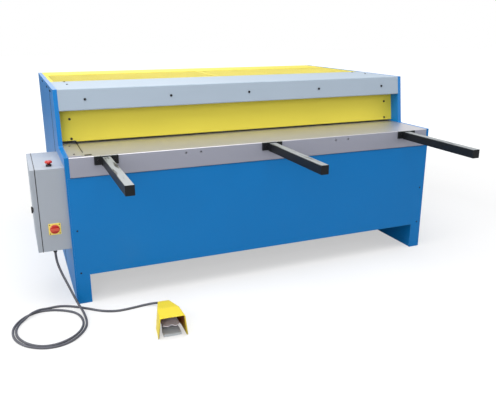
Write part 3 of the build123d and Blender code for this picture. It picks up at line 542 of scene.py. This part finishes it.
class SHEAR_OT_support_arms(ShearOperator, bpy.types.Operator):
    """Paint the three support arms, bolt them to the apron and weld them to their flanges"""

    bl_idname = "shear.support_arms"
    bl_label = "Support arms"

    def execute(self, context):
        colours, sizes = self.settings(context)
        painted = arm_paint("worn black paint", tuple(colours.arm_black), sizes.edge_radius)
        arms = ("support_arm_left", "support_arm_middle", "support_arm_right")
        paint(painted, *arms)
        black = bpy.data.materials["black oxide steel"]
        flange_thickness, bolt_spread, bolt_z = 12 * MM, 45 * MM, 831 * MM
        arm_half, weld_depth = 22.5 * MM, 50 * MM
        bolts, welds = [], []
        for arm in arms:
            low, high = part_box(arm)
            middle = (low.x + high.x) / 2
            flange_front = high.y - flange_thickness
            for side in (-1, 1):
                place = Vector((middle + side * bolt_spread, flange_front, bolt_z))
                bolts.append(set_at(hex_bolt(sizes.arm_bolt), place, (0, -1, 0)))
            welds.append(
                weld_bead(middle, arm_half, flange_front, high.z - weld_depth, high.z, sizes.weld_leg))
        make_piece("arm_bolts", join_shapes(*bolts), black)
        make_piece("arm_welds", join_shapes(*welds), painted, smooth=True)
        return {"FINISHED"}


def weld_bead(middle, half, flange_front, low, high, leg):
    """A rippled fillet weld down both sides of an arm and along its underside, against its flange."""
    corners = [
        (Vector((middle - half, flange_front, high)), Vector((-1, 0, 0))),
        (Vector((middle - half, flange_front, low)), Vector((-0.7, 0, -0.7))),
        (Vector((middle + half, flange_front, low)), Vector((0.7, 0, -0.7))),
        (Vector((middle + half, flange_front, high)), Vector((1, 0, 0))),
    ]
    # The bead swells a sixth in and out as it was laid; its root is sunk, its throat is short of its legs
    ripple, swing, pace, throat = 2.5 * MM, 0.16, 2.1, 0.62
    forward = Vector((0, -1, 0))
    path = []
    for (start, start_out), (end, end_out) in zip(corners, corners[1:]):
        steps = max(2, round((end - start).length / ripple))
        for step in range(steps):
            share = step / steps
            path.append((start.lerp(end, share), start_out.lerp(end_out, share).normalized()))
    path.append(corners[-1])
    vertices, faces = [], []
    for index, (foot, out) in enumerate(path):
        swell = leg * (1 + swing * math.cos(index * pace))
        vertices.extend([
            foot - out * SUNK - forward * SUNK,
            foot + out * swell - forward * SUNK,
            foot + out * swell * throat + forward * swell * throat,
            foot - out * SUNK + forward * swell,
        ])
    for index in range(len(path) - 1):
        for corner in range(4):
            here, ahead = index * 4 + corner, index * 4 + (corner + 1) % 4
            faces.append([here, ahead, ahead + 4, here + 4])
    last = 4 * (len(path) - 1)
    faces.extend([[3, 2, 1, 0], [last, last + 1, last + 2, last + 3]])
    return vertices, faces


COVER_BOLT_X, COVER_BOLT_Z = (175, 690, 1209, 1724, 2232), 1119
GUARD_BOLT_X, GUARD_BOLT_Z, GUARD_SETBACK = (85, 2312), (884, 999), 85
COVER_SCREW_X, COVER_SCREW_Y, COVER_TOP, COVER_SCREW = (110, 2290), (640, 820), 1180, 14 * MM


class SHEAR_OT_guards(ShearOperator, bpy.types.Operator):
    """Paint the finger guard, the cover and the mesh guards' frames, and add their bolts"""

    bl_idname = "shear.guards"
    bl_label = "Cover and guards"

    def execute(self, context):
        colours, sizes = self.settings(context)
        yellow = sprayed_enamel(
            "yellow sprayed enamel", tuple(colours.guard_yellow), sizes.edge_radius, 0.5, gloss=0.12)
        paint(yellow, "finger_guard", "top_guard", "rear_cover", "rear_guard")
        grey = sprayed_enamel(
            "blue-grey sprayed enamel", tuple(colours.cover_grey), sizes.edge_radius, 0.5, gloss=0.12)
        paint(grey, "beam_cover")
        black = bpy.data.materials["black oxide steel"]
        bolts = [
            set_at(socket_screw(sizes.cover_bolt), spot(x, slant_y(COVER_BOLT_Z), COVER_BOLT_Z), SLANT_AXIS)
            for x in COVER_BOLT_X
        ]
        make_piece("cover_bolts", join_shapes(*bolts), black)
        bolts = [
            set_at(hex_bolt(sizes.guard_bolt), spot(x, slant_y(z) + GUARD_SETBACK, z), SLANT_AXIS)
            for x in GUARD_BOLT_X for z in GUARD_BOLT_Z
        ]
        make_piece("guard_bolts", join_shapes(*bolts), black)
        screws = [
            set_at(pan_screw(COVER_SCREW), spot(x, y, COVER_TOP), (0, 0, 1))
            for x in COVER_SCREW_X for y in COVER_SCREW_Y
        ]
        make_piece("cover_screws", join_shapes(*screws), black)
        return {"FINISHED"}


def woven_mesh(origin, along, across, length, width, pitch, diameter):
    """Crimped wires woven both ways over a rectangle, each going over and under the others in turn."""
    along, across = Vector(along), Vector(across)
    out = along.cross(across)
    radius = diameter / 2
    long_gaps, cross_gaps = round(length / pitch), round(width / pitch)
    vertices, faces = [], []

    def weave(run, run_gaps, run_length, side, side_gaps, side_length, phase):
        """Add the wires that run one way."""
        for wire in range(1, side_gaps):
            line = origin + side * side_length * wire / side_gaps
            for stop in range(run_gaps + 1):
                lift = radius * (1 if (wire + stop + phase) % 2 else -1)
                centre = line + run * run_length * stop / run_gaps + out * lift
                vertices.extend(centre + offset * radius for offset in (out, side, -out, -side))
            first = len(vertices) - 4 * (run_gaps + 1)
            for stop in range(run_gaps):
                for corner in range(4):
                    here = first + 4 * stop + corner
                    ahead = first + 4 * stop + (corner + 1) % 4
                    faces.append([here, ahead, ahead + 4, here + 4])
            faces.append([first, first + 1, first + 2, first + 3])
            last = first + 4 * run_gaps
            faces.append([last + 3, last + 2, last + 1, last])

    weave(along, long_gaps, length, across, cross_gaps, width, 0)
    weave(across, cross_gaps, width, along, long_gaps, length, 1)
    return vertices, faces


class SHEAR_OT_guard_mesh(ShearOperator, bpy.types.Operator):
    """Weave the fine wire mesh into the top and rear guards' frames"""

    bl_idname = "shear.guard_mesh"
    bl_label = "Guard mesh"

    def execute(self, context):
        sizes = self.settings(context)[1]
        yellow = bpy.data.materials["yellow sprayed enamel"]
        bar, skin = 18 * MM, 3 * MM
        low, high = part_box("top_guard")
        origin = Vector((low.x + bar, low.y + bar, high.z - skin))
        top = woven_mesh(origin, (1, 0, 0), (0, 1, 0), high.x - low.x - 2 * bar, high.y - low.y - 2 * bar,
                         sizes.mesh_pitch, sizes.wire_diameter)
        make_piece("top_mesh", top, yellow, smooth=True)
        low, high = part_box("rear_guard")
        origin = Vector((low.x + bar, high.y - skin, low.z + bar))
        rear = woven_mesh(origin, (1, 0, 0), (0, 0, 1), high.x - low.x - 2 * bar, high.z - low.z - 2 * bar,
                          sizes.mesh_pitch, sizes.wire_diameter)
        make_piece("rear_mesh", rear, yellow, smooth=True)
        return {"FINISHED"}


class SHEAR_OT_cabinet(ShearOperator, bpy.types.Operator):
    """Finish the electrical cabinet and its door, and fit the door's rubber seal"""

    bl_idname = "shear.cabinet"
    bl_label = "Electrical cabinet"

    def execute(self, context):
        colours, sizes = self.settings(context)
        coat = powder_coat("textured powder coat", tuple(colours.cabinet_grey), sizes.edge_radius)
        paint(coat, "cabinet_box", "cabinet_door")
        zinc = bare_steel("zinc-plated steel", linear("#BDBCB4"), 0.36, 0.5 * MM)
        paint(zinc, "cabinet_hinges", "mounting_plate", "pedal_pin")
        nylon = moulded_plastic("black nylon", linear("#17171A"), 0.42, 0.6 * MM)
        paint(nylon, "door_latch")
        low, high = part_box("cabinet_box")
        inset, band, depth = -0.3 * MM, 8 * MM, 3 * MM
        seal_x = low.x - 0.8 * MM
        rails = []
        for z in (low.z + inset, high.z - inset - band):
            rails.append(block(
                Vector((seal_x, low.y + inset, z)), Vector((low.x + depth, high.y - inset, z + band))))
        for y in (low.y + inset, high.y - inset - band):
            rails.append(block(
                Vector((seal_x, y, low.z + inset + band)),
                Vector((low.x + depth, y + band, high.z - inset - band))))
        make_piece("door_seal", join_shapes(*rails), nylon)
        return {"FINISHED"}


class SHEAR_OT_switches(ShearOperator, bpy.types.Operator):
    """Turn the stop button, paint the main switch's knob with a paler painted highlight on its grip, and
    screw the switch plate down
    """

    bl_idname = "shear.switches"
    bl_label = "Switch and stop button"

    def execute(self, context):
        colours = self.settings(context)[0]
        red = moulded_plastic("red moulded polycarbonate", tuple(colours.switch_red), 0.3, 0.6 * MM)
        plate = moulded_plastic("yellow moulded ABS plate", tuple(colours.switch_yellow), 0.4, 0.6 * MM)
        nylon = bpy.data.materials["black nylon"]
        paint(plate, "switch_plate")
        paint(red, "switch_knob", "stop_button")
        paint(nylon, "stop_base")
        low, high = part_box("stop_button")
        middle = (low + high) / 2
        head = high.x - middle.x
        # The button's stem, the underside of its head and its domed top
        stem = 8 * MM
        crown = turned([
            (low.z, stem, 0),
            (high.z - 15 * MM, stem, 0),
            (high.z - 15 * MM, head - 3 * MM, 0),
            (high.z - 12.5 * MM, head - 0.6 * MM, 0),
            (high.z - 10 * MM, head, 0),
            (high.z - 7 * MM, head - 0.6 * MM, 0),
            (high.z - 4 * MM, head - 2.6 * MM, 0),
            (high.z - 1.8 * MM, head - 6.5 * MM, 0),
            (high.z - 0.5 * MM, head - 11.5 * MM, 0),
            (high.z, head - 17 * MM, 0),
        ], 40)
        stop = make_piece("stop_button_head", set_at(crown, Vector((middle.x, middle.y, 0)), (0, 0, 1)), red,
                          body="stop", smooth=True)
        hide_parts("stop_button")
        knob_low, knob_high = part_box("switch_knob")
        middle = (knob_low + knob_high) / 2
        # A paler red block on the knob's grip bar: painted highlight where the bar catches the light
        grip_highlight_red = moulded_plastic("red moulded polycarbonate painted highlight", linear("#D0533F"), 0.34, 1 * MM)
        grip_half, grip_rise, grip_depth, proud = 22.4 * MM, 7 * MM, 7 * MM, 0.5 * MM
        grip = block(Vector((middle.x - grip_half, knob_low.y - proud, middle.z - grip_rise)),
                     Vector((middle.x + grip_half, knob_low.y + grip_depth, middle.z + grip_rise)))
        make_piece("switch_grip_painted_highlight", grip, grip_highlight_red, body="switch")
        plate_low, plate_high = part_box("switch_plate")
        inset, screw = 7 * MM, 6 * MM
        black = bpy.data.materials["black oxide steel"]
        screws = [
            set_at(pan_screw(screw), Vector((x, plate_low.y, z)), (0, -1, 0))
            for x in (plate_low.x + inset, plate_high.x - inset)
            for z in (plate_low.z + inset, plate_high.z - inset)
        ]
        make_piece("switch_plate_screws", join_shapes(*screws), black)
        return {"FINISHED"}


def set_in_pedal(shape):
    """A shape drawn in mm in the foot switch's own frame, whose origin is under the middle of its mouth."""
    place = Matrix.Translation(spot(*PEDAL_PLACE))
    matrix = place @ Matrix.Rotation(PEDAL_TURN, 4, "Z") @ Matrix.Scale(MM, 4)
    return [matrix @ Vector(vertex) for vertex in shape[0]], shape[1]


def slab(outline, low, high):
    """A flat plate with this outline, between two heights."""
    count = len(outline)
    vertices = [Vector((x, y, z)) for z in (low, high) for x, y in outline]
    faces = [
        [index, (index + 1) % count, count + (index + 1) % count, count + index] for index in range(count)
    ]
    faces += [list(reversed(range(count))), list(range(count, 2 * count))]
    return vertices, faces


def bent_rod(points, radius, across, sides=10):
    """A round rod bent along points that lie in the plane square to a direction."""
    vertices, faces = [], []
    for index, point in enumerate(points):
        ahead = points[min(index + 1, len(points) - 1)] - points[max(index - 1, 0)]
        out = ahead.cross(across).normalized()
        for side in range(sides):
            angle = 2 * math.pi * side / sides
            vertices.append(point + (across * math.cos(angle) + out * math.sin(angle)) * radius)
    for index in range(len(points) - 1):
        for side in range(sides):
            here, beside = index * sides + side, index * sides + (side + 1) % sides
            faces.append([here, here + sides, beside + sides, beside])
    last = (len(points) - 1) * sides
    faces += [list(range(sides)), [last + side for side in reversed(range(sides))]]
    return vertices, faces


class SHEAR_OT_foot_switch(ShearOperator, bpy.types.Operator):
    """Finish the foot switch's hood, base and treadle"""

    bl_idname = "shear.foot_switch"
    bl_label = "Foot switch"

    def execute(self, context):
        colours, sizes = self.settings(context)
        hood = hood_plastic(
            "yellow moulded ABS hood", tuple(colours.pedal_yellow), tuple(colours.pedal_inside_painted_shade), 3 * MM)
        paint(hood, "pedal_hood")
        cast = sprayed_enamel("grey enamel on cast zinc", tuple(colours.pedal_grey), sizes.edge_radius, 0.4)
        paint(cast, "pedal_base")
        pressed = bare_steel("satin pressed aluminium", linear("#F1EFF9"), 0.5, 1 * MM, metallic=0.1)
        paint(pressed, "pedal_treadle")
        # The pad is wider than the solid under it and has the same waved front edge; all in mm
        half, waist, steps = 43, 28, 24
        pad_rear, pad_shoulder, pad_front, wave = 168, 132, 35, 6.5
        pad = [(-waist, pad_rear), (waist, pad_rear), (half, pad_shoulder)]
        for step in range(steps + 1):
            share = 1 - 2 * step / steps
            pad.append((half * share, pad_front + wave * math.cos(2 * math.pi * share)))
        pad.append((-half, pad_shoulder))
        skirts = []
        for side in (-half, half):
            outline = [(side - 1, 50), (side + 1, 50), (side + 1, 128), (side - 1, 128)]
            skirts.append(slab(outline, 37, 46))
        shape = join_shapes(slab(pad, 44.6, 48.7), *skirts)
        make_piece("treadle_pad", set_in_pedal(shape), pressed, body="treadle")
        apron = [(-46, 11), (46, 11), (46, 60), (36, 140), (-36, 140), (-46, 60)]
        make_piece("pedal_base_front", set_in_pedal(slab(apron, 0, 12.4)), cast)
        # A rounded lip runs up one side of the hood's mouth, over its roof and down the other side
        corner_x, corner_z, bend, steps, lip = 64.2, 114.8, 9, 6, 3
        rim = [(-75, 2)]
        for side, start in ((-1, 180), (1, 90)):
            for step in range(steps + 1):
                angle = math.radians(start - 90 * step / steps)
                across = side * (corner_x - bend) + bend * math.cos(angle)
                rim.append((across, corner_z - bend + bend * math.sin(angle)))
        rim.append((75, 2))
        rod = bent_rod([Vector((x, -0.5, z)) for x, z in rim], lip, Vector((0, 1, 0)))
        make_piece("hood_rim", set_in_pedal(rod), hood, smooth=True)
        return {"FINISHED"}


# The cable's route in mm from the left side, the front and the floor, points listed one by one
CABLE_DROP = [
    (-88, 50, 315), (-88, 50, 270), (-72, 28, 206), (-42, -14, 134), (-20, -44, 78), (-1, -72, 33),
    (16, -112, 9), (21, -176, 6.5),
]
CABLE_LOOP = [
    (22, -232, 6.5), (12, -296, 6.5), (-20, -358, 6.5), (-70, -413, 6.5), (-131, -438, 6.5),
    (-196, -436, 6.5), (-258, -406, 6.5), (-312, -354, 6.5), (-346, -278, 6.5), (-351, -196, 6.5),
    (-332, -124, 6.5), (-284, -56, 6.5), (-212, -20, 6.5), (-140, -30, 6.5), (-80, -62, 6.5),
    (-36, -98, 6.5), (-8, -143, 6.5), (4, -200, 6.5), (3, -256, 6.5), (-14, -312, 6.5), (-48, -362, 6.5),
    (-92, -399, 8), (-146, -418, 6.5), (-204, -416, 6.5), (-254, -388, 6.5), (-300, -336, 6.5),
    (-330, -268, 6.5), (-335, -196, 6.5), (-318, -134, 6.5), (-284, -86, 9), (-256, -60, 19.5),
    (-228, -38, 19.5), (-200, -16, 14), (-170, -4, 6.5),
]
CABLE_LEAD = [
    (-104, 4, 6.5), (-38, -24, 6.5), (42, -86, 6.5), (112, -150, 6.5), (190, -184, 6.5), (272, -180, 6.5),
    (338, -170, 6.5), (404, -178, 12.5),
]


class SHEAR_OT_cable(ShearOperator, bpy.types.Operator):
    """Lay the foot switch's cable in its loop of two turns and fit a strain relief at each end"""

    bl_idname = "shear.cable"
    bl_label = "Cable"

    def execute(self, context):
        colours, sizes = self.settings(context)
        sheath = cable_sheath("grey PVC sheath", tuple(colours.cable_grey))
        nylon = bpy.data.materials["black nylon"]
        gland_low, gland_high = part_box("pedal_gland")
        backward = Vector((-math.sin(PEDAL_TURN), math.cos(PEDAL_TURN), 0))
        gland_middle = (gland_low + gland_high) / 2
        gland_half, straight, boot_length = 18 * MM, 52 * MM, 32 * MM
        mouth = gland_middle + backward * gland_half
        route = [spot(*point) for point in CABLE_DROP + CABLE_LOOP + CABLE_LEAD]
        route += [mouth + backward * straight, mouth]
        curve = bpy.data.curves.new("foot_switch_cable", "CURVE")
        curve.dimensions = "3D"
        spline = curve.splines.new("NURBS")
        spline.points.add(len(route) - 1)
        for point, place in zip(spline.points, route):
            point.co = (*place, 1)
        spline.order_u = 3
        spline.use_endpoint_u = True
        spline.resolution_u = 6
        curve.bevel_depth = sizes.cable_diameter / 2
        curve.bevel_resolution = 2
        curve.use_fill_caps = True
        curve.materials.append(sheath)
        cable = bpy.data.objects.new("foot_switch_cable", curve)
        context.scene.collection.objects.link(cable)
        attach(cable, "frame")
        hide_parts("cable_drop", "cable_coil", "cable_lead")
        # The gland under the cabinet: a chamfered hexagon nut over a rounded cap
        top = spot(-88, 50, 336)
        gland = join_shapes(
            turned([
                (-8 * MM, 12.6 * MM, 6), (-7 * MM, 14 * MM, 6), (-1 * MM, 14 * MM, 6), (0, 12.6 * MM, 6),
            ]),
            turned([(-21 * MM, 6 * MM, 0), (-20.5 * MM, 7.5 * MM, 0), (-18 * MM, 9.6 * MM, 0),
                    (-14 * MM, 10.8 * MM, 0), (-8 * MM, 11 * MM, 0)], 32),
        )
        low_gland = make_piece("cable_gland_cap", set_at(gland, top, (0, 0, 1)), nylon)
        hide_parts("cable_gland")
        # The foot switch's strain relief: a collar and four ribs that grow smaller towards the cable
        rings = [(-4 * MM, 12 * MM, 0), (6 * MM, 12 * MM, 0)]
        for rib in range(4):
            rise = (7 + 6 * rib) * MM
            reach = (11.5 - rib * 0.8) * MM
            rings += [(rise, reach - 1.6 * MM, 0), (rise + 1 * MM, reach - 1.6 * MM, 0),
                      (rise + 2 * MM, reach, 0), (rise + 5 * MM, reach, 0)]
        rings += [(31 * MM, 8 * MM, 0), (32 * MM, 6 * MM, 0)]
        boot = set_at(turned(rings, 28), mouth - backward * boot_length, backward)
        relief = make_piece("pedal_strain_relief", boot, nylon)
        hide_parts("pedal_gland")
        return {"FINISHED"}


class SHEAR_OT_studio(ShearOperator, bpy.types.Operator):
    """Lay the pale floor, set the soft studio lights and place the camera"""

    bl_idname = "shear.studio"
    bl_label = "Studio"

    def execute(self, context):
        scene = context.scene
        scene.view_settings.view_transform = "Standard"
        world = bpy.data.worlds.new("studio")
        scene.world = world
        world.use_nodes = True
        tree = world.node_tree
        tree.nodes.clear()
        around = add_node(tree, "ShaderNodeBackground", values={"Color": (1, 1, 1, 1), "Strength": 0.36})
        backdrop = add_node(tree, "ShaderNodeBackground", values={"Color": (1, 1, 1, 1), "Strength": 1})
        rays = add_node(tree, "ShaderNodeLightPath")
        seen = add_node(
            tree, "ShaderNodeMath", {"operation": "MAXIMUM"},
            links={0: (rays, "Is Camera Ray"), 1: (rays, "Is Glossy Ray")})
        seen = add_node(
            tree, "ShaderNodeMath", {"operation": "MAXIMUM"},
            links={0: (seen, 0), 1: (rays, "Is Transmission Ray")})
        mixed = add_node(
            tree, "ShaderNodeMixShader", links={0: (seen, 0), 1: (around, 0), 2: (backdrop, 0)})
        add_node(tree, "ShaderNodeOutputWorld", links={"Surface": (mixed, 0)})

        half = 30
        corners = [(-half, -half, 0), (half, -half, 0), (half, half, 0), (-half, half, 0)]
        floor_mesh = bpy.data.meshes.new("studio_floor")
        floor_mesh.from_pydata(corners, [], [[0, 1, 2, 3]])
        floor = bpy.data.objects.new("studio_floor", floor_mesh)
        scene.collection.objects.link(floor)
        paper = bpy.data.materials.new("white studio paper")
        paper.use_nodes = True
        tree = paper.node_tree
        tree.nodes.clear()
        sheet = add_node(tree, "ShaderNodeBsdfDiffuse", values={"Color": (0.45, 0.45, 0.45, 1)})
        rays = add_node(tree, "ShaderNodeLightPath")
        # The paper runs out to plain white a few metres away, so that no horizon shows
        places = add_node(tree, "ShaderNodeTexCoord")
        away = add_node(tree, "ShaderNodeVectorMath", {"operation": "LENGTH"}, links={0: (places, "Object")})
        whiter = add_node(
            tree, "ShaderNodeMapRange", values={"From Min": 2.5, "From Max": 7, "To Min": 0.5, "To Max": 1},
            links={"Value": (away, "Value")})
        lift = add_node(
            tree, "ShaderNodeMath", {"operation": "MULTIPLY"},
            links={0: (rays, "Is Camera Ray"), 1: (whiter, 0)})
        glow = add_node(
            tree, "ShaderNodeEmission", values={"Color": (1, 1, 1, 1)}, links={"Strength": (lift, 0)})
        both = add_node(tree, "ShaderNodeAddShader", links={0: (sheet, 0), 1: (glow, 0)})
        add_node(tree, "ShaderNodeOutputMaterial", links={"Surface": (both, 0)})
        floor_mesh.materials.append(paper)

        lamps = (
            ("overhead softbox", (-0.4, -0.6, 5.0), 5.0, 225),
            ("front left softbox", (-3.2, -6.0, 2.6), 3.5, 140),
            ("left softbox", (-6.0, -0.5, 2.8), 3.0, 165),
            ("right fill", (5.0, -3.0, 2.6), 3.0, 60),
            ("rear fill", (0.5, 6.0, 4.2), 3.5, 55),
        )
        target = Vector((0, 0, 0.6))
        for name, place, size, power in lamps:
            light = bpy.data.lights.new(name, "AREA")
            light.size = size
            light.energy = power
            lamp = bpy.data.objects.new(name, light)
            lamp.location = place
            lamp.rotation_euler = (target - lamp.location).to_track_quat("-Z", "Y").to_euler()
            scene.collection.objects.link(lamp)

        camera_data = bpy.data.cameras.new("photo_camera")
        camera_data.lens = 41.13
        camera = bpy.data.objects.new("photo_camera", camera_data)
        camera.location = (-1.3322, -3.6259, 1.5190)
        camera.rotation_euler = (math.radians(72.957), 0, math.radians(-22.6))
        scene.collection.objects.link(camera)
        scene.camera = camera
        return {"FINISHED"}


OPERATORS = (
    SHEAR_OT_steel_frame,
    SHEAR_OT_work_table,
    SHEAR_OT_support_arms,
    SHEAR_OT_guards,
    SHEAR_OT_guard_mesh,
    SHEAR_OT_cabinet,
    SHEAR_OT_switches,
    SHEAR_OT_foot_switch,
    SHEAR_OT_cable,
    SHEAR_OT_studio,
)


class SHEAR_PT_parts(bpy.types.Panel):
    """Lists the shear's colours, sizes and parts"""

    bl_label = "Sheet-metal shear"
    bl_idname = "SHEAR_PT_parts"
    bl_space_type = "VIEW_3D"
    bl_region_type = "UI"
    bl_category = "Shear"

    def draw(self, context):
        for settings in (context.scene.shear_colours, context.scene.shear_sizes):
            column = self.layout.column()
            for key in settings.bl_rna.properties.keys():
                if key not in ("rna_type", "name"):
                    column.prop(settings, key)
        for operator in OPERATORS:
            self.layout.operator(operator.bl_idname)


CLASSES = (ShearColours, ShearSizes, *OPERATORS, SHEAR_PT_parts)


def register():
    for each in CLASSES:
        bpy.utils.register_class(each)
    bpy.types.Scene.shear_colours = bpy.props.PointerProperty(type=ShearColours)
    bpy.types.Scene.shear_sizes = bpy.props.PointerProperty(type=ShearSizes)


def unregister():
    del bpy.types.Scene.shear_sizes
    del bpy.types.Scene.shear_colours
    for each in reversed(CLASSES):
        bpy.utils.unregister_class(each)


def main():
    """Dress the machine piece by piece and light it."""
    register()
    bpy.ops.shear.steel_frame()
    bpy.ops.shear.work_table()
    bpy.ops.shear.support_arms()
    bpy.ops.shear.guards()
    bpy.ops.shear.guard_mesh()
    bpy.ops.shear.cabinet()
    bpy.ops.shear.switches()
    bpy.ops.shear.foot_switch()
    bpy.ops.shear.cable()
    bpy.ops.shear.studio()


if __name__ == "__main__":
    main()
